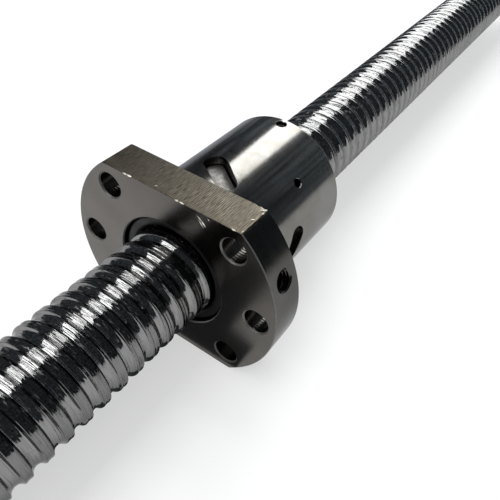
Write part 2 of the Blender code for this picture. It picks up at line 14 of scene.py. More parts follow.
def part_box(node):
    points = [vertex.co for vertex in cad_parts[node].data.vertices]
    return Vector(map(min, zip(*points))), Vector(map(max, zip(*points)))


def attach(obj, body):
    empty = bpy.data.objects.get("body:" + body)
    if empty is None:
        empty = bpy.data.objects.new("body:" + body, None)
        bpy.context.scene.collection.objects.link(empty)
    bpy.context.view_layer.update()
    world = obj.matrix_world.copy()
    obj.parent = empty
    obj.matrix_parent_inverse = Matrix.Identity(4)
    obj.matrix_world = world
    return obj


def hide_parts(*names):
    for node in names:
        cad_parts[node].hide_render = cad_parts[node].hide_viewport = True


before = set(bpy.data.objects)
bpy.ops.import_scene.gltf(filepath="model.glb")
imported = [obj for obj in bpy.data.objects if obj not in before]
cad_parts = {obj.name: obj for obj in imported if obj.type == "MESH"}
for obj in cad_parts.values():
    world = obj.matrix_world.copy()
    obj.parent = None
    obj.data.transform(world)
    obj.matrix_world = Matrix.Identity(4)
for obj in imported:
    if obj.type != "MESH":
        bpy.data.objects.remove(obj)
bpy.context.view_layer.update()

MM = 0.001

# Screw
LEAD = 5 * MM
BALL_RADIUS = 1.5875 * MM
BALL_CIRCLE = 12.8 * MM
CREST = 12.25 * MM
THREAD_START = -157 * MM
THREAD_END = 223 * MM
FLANGE_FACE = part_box("nut_body")[0].x
GROOVE_AT_TOP = FLANGE_FACE + 17.3 * MM

# Nut
NUT_LENGTH = 51 * MM
NUT_RADIUS = 20 * MM
FLANGE_RADIUS = 31 * MM
FLANGE_THICKNESS = 10 * MM
FLAT_HEIGHT = 24 * MM
BORE_RADIUS = 12.6 * MM
SEAT_RADIUS = 15.6 * MM
SEAT_DEPTH = 6.5 * MM
WIPER_RECESS = 1.2 * MM

# Holes: their places along the axis are measured from the flange's face
BOLT_CIRCLE = 25.5 * MM
BOLT_HOLE = 3.3 * MM
BOLT_ANGLES = (-45, 0, 45, 135, 180, 225)
OIL_PORT_ANGLE = 157.5
OIL_PORT_RADIUS = 2.5 * MM
OIL_PORT_BOTTOM = 19 * MM
SIDE_HOLE_ANGLE = 134.5
SIDE_HOLE_RADIUS = 1.25 * MM
SIDE_HOLE_PLACE = 34.8 * MM
GRUB_HOLE_RADIUS = 1.5 * MM
GRUB_FRONT_PLACE = 3 * MM
GRUB_REAR_PLACE = 48 * MM

# Ball circuits
CIRCUITS = 4
RETURN_BALLS = 4
LOADED_BALLS = 22
FIRST_DEFLECTOR = 19.8 * MM
DEFLECTOR_STEP = 6.25 * MM
DEFLECTOR_TILT = math.radians(35)
CROSSING_HALF_ANGLE = 27
CROSSING_CIRCLE = 14.1375 * MM
# The photograph shows the slots this far nearer to the flange than the solids have them
SLOT_SHIFT = 0.25 * MM

# The nut's material slots
SKIN, FACE, FLAT, HOLE, RIM, NICK, WORN = range(7)

# The flange's lower flat stands this far above the floor, and the low cards halfway between
FLOOR_GAP = 0.2 * MM
CARD_GAP = 0.1 * MM


def around(radius, degrees, x=0.0):
    angle = math.radians(degrees)
    return Vector((x, radius * math.cos(angle), radius * math.sin(angle)))


def add_object(name, data):
    obj = bpy.data.objects.new(name, data)
    bpy.context.scene.collection.objects.link(obj)
    return obj


def new_object(bm, name, *materials):
    bmesh.ops.recalc_face_normals(bm, faces=bm.faces)
    mesh = bpy.data.meshes.new(name)
    bm.to_mesh(mesh)
    bm.free()
    for material in materials:
        mesh.materials.append(material)
    return add_object(name, mesh)


def smooth(obj, degrees):
    obj.data.shade_smooth()
    obj.data.set_sharp_from_angle(angle=math.radians(degrees))


def cut_away(obj, cutters):
    """Cuts each cutter out of the object and removes it."""
    for cutter in cutters:
        modifier = obj.modifiers.new(cutter.name, "BOOLEAN")
        modifier.operation = "DIFFERENCE"
        modifier.solver = "EXACT"
        modifier.object = cutter
    bpy.context.view_layer.update()
    graph = bpy.context.evaluated_depsgraph_get()
    mesh = bpy.data.meshes.new_from_object(obj.evaluated_get(graph), depsgraph=graph)
    obj.modifiers.clear()
    old = obj.data
    obj.data = mesh
    mesh.name = old.name
    bpy.data.meshes.remove(old)
    for cutter in cutters:
        bpy.data.objects.remove(cutter)


def bridge(bm, rings, closed=False):
    """Joins each ring of vertices to the next, and the last to the first if closed."""
    pairs = list(zip(rings, rings[1:]))
    if closed:
        pairs.append((rings[-1], rings[0]))
    for first, second in pairs:
        for step in range(len(first)):
            after = (step + 1) % len(first)
            corners = tuple(dict.fromkeys((first[step], first[after], second[after], second[step])))
            if len(corners) > 2:
                bm.faces.new(corners)


def lathe(outline, steps, closed=False, start=Vector((0, 0, 0)), axis=Vector((1, 0, 0)), turn=0.0):
    """A bmesh of an outline of (distance along the axis, radius) turned about the axis."""
    bm = bmesh.new()
    side = axis.orthogonal().normalized()
    other = axis.cross(side)
    rings = []
    for along, radius in outline:
        centre = start + axis * along
        if radius < 1e-9:
            rings.append([bm.verts.new(centre)] * steps)
            continue
        ring = []
        for step in range(steps):
            angle = 2 * math.pi * step / steps + turn
            outward = side * math.cos(angle) + other * math.sin(angle)
            ring.append(bm.verts.new(centre + outward * radius))
        rings.append(ring)
    bridge(bm, rings, closed)
    return bm


# ---- materials ----


def node(tree, kind, **values):
    item = tree.nodes.new(kind)
    for key, value in values.items():
        setattr(item, key, value)
    return item


def seen_directly(tree):
    """1 for rays that show a picture of the surface, and 0 for those that gather its soft light."""
    path = node(tree, "ShaderNodeLightPath")
    seen = path.outputs["Is Camera Ray"]
    for kind in ("Is Glossy Ray", "Is Transmission Ray"):
        either = node(tree, "ShaderNodeMath", operation="MAXIMUM")
        tree.links.new(seen, either.inputs[0])
        tree.links.new(path.outputs[kind], either.inputs[1])
        seen = either.outputs[0]
    return seen


class Maker:
    """Short ways to write a material's nodes. where, x, y and z are a place on the object."""

    def __init__(self, name):
        self.material = bpy.data.materials.new(name)
        self.material.use_nodes = True
        self.tree = self.material.node_tree
        self.shader = self.tree.nodes["Principled BSDF"]
        self.where = node(self.tree, "ShaderNodeTexCoord").outputs["Object"]
        parts = node(self.tree, "ShaderNodeSeparateXYZ")
        self.link(self.where, parts.inputs[0])
        self.x, self.y, self.z = parts.outputs

    def link(self, source, target):
        self.tree.links.new(source, target)

    def feed(self, socket, value):
        if isinstance(value, bpy.types.NodeSocket):
            self.link(value, socket)
        else:
            socket.default_value = value

    def math(self, operation, *values):
        item = node(self.tree, "ShaderNodeMath", operation=operation)
        for socket, value in zip(item.inputs, values):
            self.feed(socket, value)
        return item.outputs[0]

    def plus(self, first, second):
        return self.math("ADD", first, second)

    def times(self, first, second):
        return self.math("MULTIPLY", first, second)

    def distance(self, first, second):
        """How far two coordinates are from zero together."""
        return self.math("SQRT", self.plus(self.times(first, first), self.times(second, second)))

    def vector(self, x, y, z):
        item = node(self.tree, "ShaderNodeCombineXYZ")
        for socket, value in zip(item.inputs, (x, y, z)):
            self.feed(socket, value)
        return item.outputs[0]

    def noise(self, vector, scale, detail=2.0, roughness=0.5):
        """Noise at a place, or at a place and a fourth coordinate where the vector is a pair."""
        item = node(self.tree, "ShaderNodeTexNoise")
        if isinstance(vector, tuple):
            item.noise_dimensions = "4D"
            vector, fourth = vector
            self.feed(item.inputs["W"], fourth)
        self.feed(item.inputs["Vector"], vector)
        item.inputs["Scale"].default_value = scale
        item.inputs["Detail"].default_value = detail
        item.inputs["Roughness"].default_value = roughness
        return item.outputs["Fac"]

    def remap(self, value, low, high, to_low=0.0, to_high=1.0):
        item = node(self.tree, "ShaderNodeMapRange")
        for socket, number in zip(item.inputs, (value, low, high, to_low, to_high)):
            self.feed(socket, number)
        return item.outputs[0]

    def mix(self, share, first, second):
        """A blend of two colours, each of them three numbers or a socket."""
        item = node(self.tree, "ShaderNodeMix", data_type="RGBA")
        self.feed(item.inputs[0], share)
        for socket, colour in ((item.inputs[6], first), (item.inputs[7], second)):
            self.feed(socket, colour if isinstance(colour, bpy.types.NodeSocket) else (*colour, 1))
        return item.outputs[2]

    def bump(self, height, strength, distance, normal=None):
        item = node(self.tree, "ShaderNodeBump")
        item.inputs["Strength"].default_value = strength
        item.inputs["Distance"].default_value = distance
        self.feed(item.inputs["Height"], height)
        if normal is not None:
            self.link(normal, item.inputs["Normal"])
        return item.outputs[0]

    def set(self, **values):
        """Sets the Principled shader's inputs, and gives its material."""
        for key, value in values.items():
            if isinstance(value, tuple):
                value = (*value, 1)
            self.feed(self.shader.inputs[key.replace("_", " ")], value)
        return self.material

    def glow(self, colour, strength):
        item = node(self.tree, "ShaderNodeEmission")
        item.inputs["Color"].default_value = (*colour, 1)
        self.feed(item.inputs["Strength"], strength)
        return item.outputs[0]

    def show(self, surface):
        """Puts a shader in place of the Principled one, and gives its material."""
        self.tree.nodes.remove(self.shader)
        output = next(item for item in self.tree.nodes if item.type == "OUTPUT_MATERIAL")
        self.link(surface, output.inputs["Surface"])
        return self.material


def helix_phase(maker):
    """The angle round the axis, and the angle within one lead, the same all along a groove."""
    turn = maker.math("ARCTAN2", maker.z, maker.y)
    return turn, maker.math("SUBTRACT", maker.times(maker.x, 2 * math.pi / LEAD), turn)


def helix_place(maker, stripes, strokes):
    """A place for noise that runs round with the thread.

    It has so many stripes in a lead and so many strokes in a turn, and drifts along the screw.
    """
    turn, phase = helix_phase(maker)
    radius = stripes / (2 * math.pi)
    across = maker.times(maker.math("COSINE", phase), radius)
    aside = maker.times(maker.math("SINE", phase), radius)
    reach = strokes / (2 * math.pi)
    drift = maker.times(maker.x, 400.0)
    third = maker.plus(maker.times(maker.math("COSINE", turn), reach), drift)
    fourth = maker.times(maker.math("SINE", turn), reach)
    return maker.vector(across, aside, third), fourth


def screw_steel():
    """Ground steel whose lines run round with the thread, darker on the land than in the groove."""
    maker = Maker("ground_screw_steel")
    phase = helix_phase(maker)[1]
    groove_phase = 2 * math.pi * GROOVE_AT_TOP / LEAD - math.pi / 2
    in_groove = maker.math("COSINE", maker.math("SUBTRACT", phase, groove_phase))
    land = maker.remap(in_groove, -0.45, -0.32, 0.40, 0.0)
    sway = maker.noise(helix_place(maker, 6, 5), 1.0, 2.0, 0.6)
    ridges = maker.math("SINE", maker.plus(maker.times(phase, 5.0), maker.times(sway, 7.0)))
    waves = maker.noise(helix_place(maker, 13, 26), 1.0, 2.0, 0.5)
    fine = maker.noise(helix_place(maker, 90, 24), 1.0, 2.0, 0.6)
    blotch = maker.noise(helix_place(maker, 13, 44), 1.0, 1.6, 0.5)
    patches = maker.remap(maker.noise(maker.where, 300.0), 0.42, 0.60, 0.25, 1.7)
    spots = maker.times(maker.remap(blotch, 0.54, 0.66), patches)
    polish = maker.remap(fine, 0.30, 0.70, 0.045, 0.085)
    roughness = maker.plus(polish, maker.times(spots, 0.26))
    shade = maker.mix(maker.remap(waves, 0.35, 0.70), (0.255, 0.255, 0.252), (0.215, 0.215, 0.214))
    shade = maker.mix(land, shade, (0.10, 0.10, 0.10))
    dark_lines = maker.noise(helix_place(maker, 50, 6), 1.0, 1.0, 0.5)
    colour = maker.mix(maker.remap(dark_lines, 0.35, 0.41, 0.6, 0.0), shade, (0.05, 0.05, 0.051))
    normal = maker.bump(waves, 1.0, 0.000010)
    normal = maker.bump(ridges, 1.0, 0.000026, normal)
    normal = maker.bump(fine, 1.0, 0.0000016, normal)
    tint = (0.6, 0.6, 0.6)
    return maker.set(Base_Color=colour, Metallic=1.0, Roughness=roughness, Specular_Tint=tint, Normal=normal)


def nut_steel(name, light, dark, low_roughness):
    """Cylinder-ground steel: fine lines round the axis, clouded with a brownish film of oil."""
    maker = Maker(name)
    along, across = 2600.0, 60.0
    round_lines = maker.vector(
        maker.times(maker.x, along), maker.times(maker.y, across), maker.times(maker.z, across)
    )
    streaks = maker.noise(round_lines, 1.0, 3.0, 0.6)
    cloud = maker.noise(maker.where, 90.0, 3.0, 0.6)
    film = maker.noise(maker.where, 170.0, 4.0, 0.65)
    grain = maker.noise(maker.where, 1500.0, 4.0, 0.65)
    uneven = maker.plus(streaks, cloud)
    roughness = maker.remap(uneven, 0.75, 1.35, low_roughness, low_roughness + 0.09)
    colour = maker.mix(maker.remap(cloud, 0.35, 0.65), light, dark)
    brown = tuple(value * share for value, share in zip(dark, (0.92, 0.88, 0.74)))
    colour = maker.mix(maker.remap(film, 0.50, 0.66, 0.0, 0.4), colour, brown)
    normal = maker.bump(streaks, 0.25, 0.00003)
    normal = maker.bump(grain, 0.45, 0.00002, normal)
    tint = (0.65, 0.65, 0.65)
    return maker.set(Base_Color=colour, Metallic=1.0, Roughness=roughness, Specular_Tint=tint, Normal=normal)


def flange_steel():
    """The flange's turned faces, a little browner than the rest."""
    maker = Maker("flange_face_steel")
    turned = maker.times(maker.distance(maker.y, maker.z), 5200.0)
    rings = maker.noise(maker.vector(turned, 0.0, 0.0), 1.0, 3.0, 0.6)
    cloud = maker.noise(maker.where, 70.0, 3.0, 0.6)
    grain = maker.noise(maker.where, 1700.0, 4.0, 0.65)
    roughness = maker.remap(maker.plus(rings, cloud), 0.75, 1.35, 0.17, 0.26)
    colour = maker.mix(maker.remap(cloud, 0.35, 0.65), (0.130, 0.121, 0.112), (0.110, 0.102, 0.095))
    normal = maker.bump(rings, 0.2, 0.00002)
    normal = maker.bump(grain, 0.25, 0.00002, normal)
    return maker.set(Base_Color=colour, Metallic=1.0, Roughness=roughness, Normal=normal)


def milled_steel():
    """The flange's flats, milled along the flange's thickness, with painted shade that darkens them towards
    +Y.
    """
    maker = Maker("milled_flat_steel")

    def flat_place(along, across, layer):
        return maker.vector(maker.times(maker.x, along), maker.times(maker.y, across), layer)

    streaks = maker.noise(flat_place(420.0, 4600.0, 0.0), 1.0, 3.0, 0.65)
    sway = maker.noise(flat_place(260.0, 1300.0, 7.0), 1.0, 2.0, 0.5)
    strokes = maker.math("SINE", maker.plus(maker.times(maker.y, 13200.0), maker.times(sway, 4.5)))
    uneven = maker.plus(maker.times(streaks, 0.7), 0.15)
    lines = maker.plus(maker.times(strokes, 0.060), uneven)
    grain = maker.noise(maker.where, 3000.0, 3.0, 0.7)
    marks = maker.noise(flat_place(500.0, 2600.0, 3.0), 1.0, 2.0, 0.6)
    cloud = maker.noise(maker.where, 160.0, 3.0, 0.6)
    roughness = maker.remap(maker.plus(lines, cloud), 0.75, 1.35, 0.29, 0.42)
    colour = maker.mix(maker.remap(lines, 0.44, 0.56), (0.145, 0.127, 0.095), (0.028, 0.025, 0.021))
    colour = maker.mix(maker.remap(cloud, 0.45, 0.70, 0.0, 0.5), colour, (0.056, 0.049, 0.038))
    colour = maker.mix(maker.remap(grain, 0.58, 0.68, 0.0, 0.35), colour, (0.185, 0.170, 0.135))
    # Painted shade: the flats' colour darkens towards +Y
    colour = maker.mix(maker.remap(maker.y, -0.020, 0.018, 0.0, 0.38), colour, (0.030, 0.028, 0.025))
    normal = maker.bump(lines, 1.0, 0.00004)
    normal = maker.bump(marks, 1.0, 0.00003, normal)
    normal = maker.bump(grain, 1.0, 0.00001, normal)
    return maker.set(Base_Color=colour, Metallic=1.0, Roughness=roughness, Normal=normal)


def shaded_hole_steel():
    """The walls of holes, slots and the bore: steel as the drill left it, painted dark for the shade inside
    the recesses.
    """
    maker = Maker("hole_steel_painted_shade")
    grain = maker.noise(maker.where, 1800.0, 3.0, 0.6)
    roughness = maker.remap(grain, 0.3, 0.7, 0.15, 0.26)
    # Painted shade: the walls' colour is darkened for the shade inside the recesses
    colour = maker.mix(grain, (0.065, 0.062, 0.058), (0.125, 0.118, 0.106))
    normal = maker.bump(grain, 0.4, 0.00003)
    return maker.set(Base_Color=colour, Metallic=1.0, Roughness=roughness, Normal=normal)


def wiper_plastic():
    maker = Maker("black_wiper_plastic")
    grain = maker.noise(maker.where, 2600.0, 3.0, 0.6)
    cloud = maker.noise(maker.where, 220.0)
    roughness = maker.remap(cloud, 0.3, 0.7, 0.38, 0.55)
    colour = maker.mix(cloud, (0.006, 0.006, 0.007), (0.011, 0.011, 0.012))
    normal = maker.bump(grain, 0.3, 0.00002)
    return maker.set(Base_Color=colour, Roughness=roughness, Specular_IOR_Level=0.3, Normal=normal)


def deflector_steel():
    maker = Maker("sintered_deflector_steel")
    grain = maker.noise(maker.where, 2200.0, 5.0, 0.7)
    cloud = maker.noise(maker.where, 620.0, 4.0, 0.7)
    roughness = maker.remap(grain, 0.3, 0.7, 0.34, 0.52)
    colour = maker.mix(maker.remap(cloud, 0.4, 0.62), (0.270, 0.262, 0.250), (0.135, 0.130, 0.122))
    normal = maker.bump(cloud, 0.8, 0.00010)
    normal = maker.bump(grain, 0.5, 0.00004, normal)
    return maker.set(Base_Color=colour, Metallic=1.0, Roughness=roughness, Normal=normal)


def ball_steel():
    maker = Maker("polished_ball_steel")
    cloud = maker.noise(maker.where, 700.0, 3.0, 0.6)
    roughness = maker.remap(cloud, 0.3, 0.7, 0.04, 0.09)
    colour = maker.mix(cloud, (0.62, 0.62, 0.62), (0.56, 0.56, 0.56))
    return maker.set(Base_Color=colour, Metallic=1.0, Roughness=roughness)


def black_steel():
    maker = Maker("blackened_screw_steel")
    grain = maker.noise(maker.where, 1900.0, 3.0, 0.6)
    roughness = maker.remap(grain, 0.3, 0.7, 0.35, 0.55)
    colour = maker.mix(grain, (0.035, 0.035, 0.037), (0.07, 0.068, 0.066))
    normal = maker.bump(grain, 0.3, 0.00002)
    return maker.set(Base_Color=colour, Metallic=1.0, Roughness=roughness, Normal=normal)


def painted_glint_nick_steel():
    """Fresh metal where an edge has been knocked; its near-white, almost unmetallic colour is a painted
    glint.
    """
    maker = Maker("nick_steel_painted_glint")
    grain = maker.noise(maker.where, 3000.0, 3.0, 0.6)
    roughness = maker.remap(grain, 0.3, 0.7, 0.38, 0.55)
    # Painted glint: a near-white colour, so the knocked edges shine
    colour = maker.mix(grain, (0.95, 0.93, 0.84), (0.80, 0.78, 0.70))
    normal = maker.bump(grain, 0.5, 0.00003)
    return maker.set(Base_Color=colour, Metallic=0.1, Roughness=roughness, Normal=normal)


def worn_edge_steel():
    """Chamfers and edges, rubbed brighter than the faces beside them."""
    maker = Maker("worn_edge_steel")
    grain = maker.noise(maker.where, 1400.0, 3.0, 0.6)
    roughness = maker.remap(grain, 0.3, 0.7, 0.40, 0.55)
    colour = maker.mix(grain, (0.175, 0.172, 0.166), (0.115, 0.113, 0.108))
    normal = maker.bump(grain, 0.4, 0.00003)
    return maker.set(Base_Color=colour, Metallic=0.75, Roughness=roughness, Normal=normal)


# ---- screw ----


def groove_profile():
    """(offset along the axis, radius) of one lead: a round groove, and a land with two low beads."""
    deepest = 11.16 * MM
    arc_reach, arc_steps = 1.50 * MM, 5
    mouth = 1.56 * MM
    groove_radius = BALL_CIRCLE - deepest
    points = []
    for step in range(-arc_steps, arc_steps + 1):
        offset = arc_reach * step / arc_steps
        points.append((offset, BALL_CIRCLE - math.sqrt(groove_radius**2 - offset**2)))
    land = (
        (0.00, -0.13),
        (0.05, -0.03),
        (0.13, 0.0),
        (0.27, -0.05),
        (0.50, -0.09),
        (0.73, -0.05),
        (0.87, 0.0),
        (0.95, -0.03),
        (1.00, -0.13),
    )
    return points + [(mouth + (LEAD - 2 * mouth) * share, CREST + lift * MM) for share, lift in land]


def thread_end_limit(x):
    """The largest radius that the chamfers at the thread's ends leave."""
    chamfer = 1.5 * MM
    return CREST - max(0.0, THREAD_START + chamfer - x, x - THREAD_END + chamfer)


def make_threaded_rod(bm):
    """Sweeps the profile round the axis, one lead a turn, and closes both ends with a flat face."""
    profile = groove_profile()
    sides = 56
    first = math.floor((THREAD_START - GROOVE_AT_TOP) / LEAD) - 1
    turns = math.ceil((THREAD_END - THREAD_START) / LEAD) + 3
    columns = []
    for side in range(sides):
        share = side / sides
        column = []
        for turn in range(turns):
            centre = GROOVE_AT_TOP + (first + turn + share) * LEAD
            for offset, radius in profile:
                x = centre + offset
                limited = min(radius, thread_end_limit(x))
                column.append(bm.verts.new(around(limited, 90 + 360 * share, x)))
        columns.append(column)
    columns.append(columns[0][len(profile) :])
    for left, right in zip(columns[:-1], columns[1:]):
        for row in range(min(len(left), len(right)) - 1):
            bm.faces.new((left[row], left[row + 1], right[row + 1], right[row]))
    for x, way in ((THREAD_START, -1), (THREAD_END, 1)):
        bmesh.ops.bisect_plane(
            bm,
            geom=bm.verts[:] + bm.edges[:] + bm.faces[:],
            dist=1e-7,
            plane_co=(x, 0, 0),
            plane_no=(way, 0, 0),
            clear_outer=True,
        )
        rim = [
            edge
            for edge in bm.edges
            if edge.is_boundary and all(abs(vert.co.x - x) < 1e-6 for vert in edge.verts)
        ]
        bmesh.ops.contextual_create(bm, geom=rim)


def add_journal(bm, outline):
    """Turns an outline of (x, radius) in millimetres about the screw's axis and adds it to the mesh."""
    journal = lathe([(x * MM, radius * MM) for x, radius in outline], 96)
    mesh = bpy.data.meshes.new("part")
    journal.to_mesh(mesh)
    journal.free()
    bm.from_mesh(mesh)
    bpy.data.meshes.remove(mesh)


def make_screw(thread_material, journal_material):
    bm = bmesh.new()
    make_threaded_rod(bm)
    drive_journal = [
        (-237.54, 0),
        (-241.0, 2.0),
        (-241.0, 5.1),
        (-240.75, 5.4),
        (-240.4, 5.75),
        (-240.1, 6.0),
        (-218.0, 6.0),
        (-218.0, 7.5),
    ]
    locknut_start, locknut_turns, root, crest = -217.6, 16, 7.68, 8.27
    locknut_thread = [(locknut_start, root)]
    for turn in range(locknut_turns):
        start = locknut_start + turn
        locknut_thread += [(start + 0.45, crest), (start + 0.55, crest), (start + 1, root)]
    bearing_seat = [(-201.0, root), (-201.0, 8.1), (-200.6, 8.5), (-156.5, 8.5), (-156.5, 0)]
    add_journal(bm, drive_journal + locknut_thread + bearing_seat)
    support_journal = [
        (222.5, 0),
        (222.5, 8.5),
        (238.05, 8.5),
        (238.05, 8.1),
        (239.2, 8.1),
        (239.2, 8.5),
        (240.4, 8.5),
        (240.75, 8.25),
        (241.0, 7.9),
        (241.0, 2.0),
        (237.54, 0),
    ]
    add_journal(bm, support_journal)
    screw = new_object(bm, "screw", thread_material, journal_material)
    smooth(screw, 35)
    margin = 0.01 * MM
    for polygon in screw.data.polygons:
        if not THREAD_START + margin < polygon.center.x < THREAD_END - margin:
            polygon.material_index = 1
    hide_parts("screw_shaft")
    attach(screw, "screw")


# ---- nut ----


def flange_angles():
    """The degrees round the axis of the nut's grid, with the flats' corners among them."""
    corner = math.degrees(math.asin(FLAT_HEIGHT / FLANGE_RADIUS))
    corners = (corner, 180 - corner, 180 + corner, 360 - corner)
    flat_steps, rim_steps = 72, 90
    angles = []
    for start, end, steps in zip(corners, corners[1:] + (corners[0] + 360,), (flat_steps, rim_steps) * 2):
        angles += [start + (end - start) * step / steps for step in range(steps)]
    return angles


def flange_edge_point(angle, share, front):
    """A point on the rounded edge of the flange's outline: share runs from its face to its rim."""
    arc_edge = 0.22 * MM
    flat_edge = 0.10 * MM
    sine = abs(math.sin(math.radians(angle)))
    on_flat = FLANGE_RADIUS * sine > FLAT_HEIGHT + 1e-9
    arc = FLANGE_RADIUS - (1 - share) * arc_edge
    flat = (FLAT_HEIGHT - (1 - share) * flat_edge) / max(sine, 1e-6)
    inset = (flat_edge if on_flat else arc_edge) * share
    along = inset if front else FLANGE_THICKNESS - inset
    return around(min(arc, flat), angle, FLANGE_FACE + along)


def make_nut_blank():
    """The nut's solid: its flange's rim follows the flats, and the rest is round."""
    edge_shares = (0.0, 0.35, 1.0)
    back = NUT_LENGTH
    rounds = (
        (FLANGE_THICKNESS, NUT_RADIUS + 0.15 * MM),
        (FLANGE_THICKNESS + 0.05 * MM, NUT_RADIUS + 0.04 * MM),
        (FLANGE_THICKNESS + 0.15 * MM, NUT_RADIUS),
        (FLANGE_THICKNESS + 0.30 * MM, NUT_RADIUS),
        (back - 0.75 * MM, NUT_RADIUS),
        (back - 0.6 * MM, NUT_RADIUS),
        (back - 0.5 * MM, NUT_RADIUS - 0.03 * MM),
        (back - 0.05 * MM, NUT_RADIUS - 0.48 * MM),
        (back, NUT_RADIUS - 0.6 * MM),
        (back, SEAT_RADIUS + 0.3 * MM),
        (back - 0.3 * MM, SEAT_RADIUS),
        (back - SEAT_DEPTH, SEAT_RADIUS),
        (back - SEAT_DEPTH, BORE_RADIUS),
        (SEAT_DEPTH, BORE_RADIUS),
        (SEAT_DEPTH, SEAT_RADIUS),
        (0.3 * MM, SEAT_RADIUS),
    )
    bm = bmesh.new()
    angles = flange_angles()

    def round_ring(along, radius):
        return [bm.verts.new(around(radius, angle, FLANGE_FACE + along)) for angle in angles]

    def edge_ring(share, front):
        return [bm.verts.new(flange_edge_point(angle, share, front)) for angle in angles]

    rings = [round_ring(0.0, SEAT_RADIUS + 0.3 * MM)]
    rings += [edge_ring(share, True) for share in edge_shares]
    rings += [edge_ring(share, False) for share in reversed(edge_shares)]
    rings += [round_ring(along, radius) for along, radius in rounds]
    bridge(bm, rings, closed=True)
    return new_object(bm, "nut")


def hole_cutter(name, radius, low, high, start, axis, steps, chamfer, rings=0, ring_depth=0.0, through=False):
    """A turned cutter from low to high along its axis.

    It opens out at its outer mouth, and at both where it goes through. Its walls can carry
    machining rings. It is turned a little, so that its corners lie off the nut's grid.
    """
    over = 1.0 * MM
    off_grid = 0.013
    if through:
        outline = [(low - over, 0), (low - over, radius + chamfer + over)]
        low += chamfer
    else:
        outline = [(low, 0)]
    outline.append((low, radius))
    end = high - chamfer
    for index in range(rings):
        pitch = (end - low) / rings
        for share, depth in ((0.25, 0), (0.5, ring_depth), (0.75, ring_depth)):
            outline.append((low + pitch * (index + share), radius + depth))
    outline += [(end, radius), (high + over, radius + chamfer + over), (high + over, 0)]
    bm = lathe(outline, steps, start=start, axis=Vector(axis).normalized(), turn=off_grid)
    return new_object(bm, name)


def hole_cutters():
    """The cutters for the nut's bolt holes, oil port, side hole and grub screw holes."""
    cutters = []
    for index, angle in enumerate(BOLT_ANGLES):
        start = around(BOLT_CIRCLE, angle, FLANGE_FACE)
        cutters.append(
            hole_cutter(
                f"bolt_{index}",
                BOLT_HOLE,
                0,
                FLANGE_THICKNESS,
                start,
                axis=(1, 0, 0),
                steps=48,
                chamfer=0.35 * MM,
                rings=12,
                ring_depth=0.07 * MM,
                through=True,
            )
        )
    start = Vector((FLANGE_FACE + FLANGE_THICKNESS / 2, 0, 0))
    cutters.append(
        hole_cutter(
            "port",
            OIL_PORT_RADIUS,
            OIL_PORT_BOTTOM,
            FLANGE_RADIUS,
            start,
            axis=around(1, OIL_PORT_ANGLE),
            steps=40,
            chamfer=0.5 * MM,
            rings=11,
            ring_depth=0.45 * MM,
        )
    )
    grub_low = 14.6 * MM
    plain_holes = (
        ("side", SIDE_HOLE_RADIUS, 11.6 * MM, NUT_RADIUS, SIDE_HOLE_PLACE, SIDE_HOLE_ANGLE, 0.12 * MM),
        ("grub_0", GRUB_HOLE_RADIUS, grub_low, NUT_RADIUS, GRUB_REAR_PLACE, 90, 0.15 * MM),
        ("grub_1", GRUB_HOLE_RADIUS, grub_low, NUT_RADIUS, GRUB_REAR_PLACE, 270, 0.15 * MM),
        ("grub_front", GRUB_HOLE_RADIUS, grub_low, FLAT_HEIGHT, GRUB_FRONT_PLACE, 270, 0.15 * MM),
    )
    for name, radius, low, high, place, angle, chamfer in plain_holes:
        start = Vector((FLANGE_FACE + place, 0, 0))
        cutters.append(hole_cutter(name, radius, low, high, start, around(1, angle), 32, chamfer))
    return cutters


def deflector_frame(circuit):
    """The matrix of a deflector: local Z points out of the nut, local X lies along the slot."""
    angle = math.radians(90 + 90 * circuit)
    axial = Vector((1, 0, 0))
    outward = Vector((0, math.cos(angle), math.sin(angle)))
    round_about = Vector((0, -math.sin(angle), math.cos(angle)))
    long_way = math.cos(DEFLECTOR_TILT) * round_about - math.sin(DEFLECTOR_TILT) * axial
    short_way = math.sin(DEFLECTOR_TILT) * round_about + math.cos(DEFLECTOR_TILT) * axial
    matrix = Matrix((long_way, short_way, outward)).transposed().to_4x4()
    x = FLANGE_FACE + FIRST_DEFLECTOR - SLOT_SHIFT + DEFLECTOR_STEP * circuit
    matrix.translation = (x, 0, 0)
    return matrix


def add_pill(bm, length, width, levels):
    """Stacks round-ended outlines at (height, inset) levels and closes them."""
    steps = 16
    rings = []
    straight = (length - width) / 2
    for height, inset in levels:
        radius = width / 2 - inset
        ring = []
        for side in (1, -1):
            for step in range(steps + 1):
                angle = math.radians(-90 + 180 * step / steps)
                x = side * (straight + radius * math.cos(angle))
                ring.append(bm.verts.new((x, side * radius * math.sin(angle), height)))
        rings.append(ring)
    bridge(bm, rings)
    bm.faces.new(list(reversed(rings[0])))
    bm.faces.new(rings[-1])


def slot_cutter(circuit):
    """A deflector's slot, opened out to a chamfer at the nut's skin."""
    bm = bmesh.new()
    add_pill(bm, 14.0 * MM, 5.8 * MM, ((6 * MM, 0), (19.82 * MM, 0), (21 * MM, -1.18 * MM)))
    cutter = new_object(bm, f"slot_{circuit + 1}")
    cutter.data.transform(deflector_frame(circuit))
    return cutter


def make_deflector(circuit, material):
    """The insert in its slot: a rounded block whose top follows the nut's cylinder."""
    bm = bmesh.new()
    levels = ((12.9, 0), (16.9, 0), (17.40, 0), (17.66, 0.10), (17.76, 0.28))
    add_pill(bm, 13.7 * MM, 5.3 * MM, [(height * MM, inset * MM) for height, inset in levels])
    top = NUT_RADIUS - 2.2 * MM
    for vert in bm.verts:
        if vert.co.z > 16 * MM:
            aside = vert.co.x * math.cos(DEFLECTOR_TILT) + vert.co.y * math.sin(DEFLECTOR_TILT)
            vert.co.z -= top - math.sqrt(top**2 - aside**2)
    piece = new_object(bm, f"deflector_insert_{circuit + 1}", material)
    piece.data.transform(deflector_frame(circuit))
    smooth(piece, 40)
    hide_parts(f"deflector_{circuit + 1}")
    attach(piece, "nut")


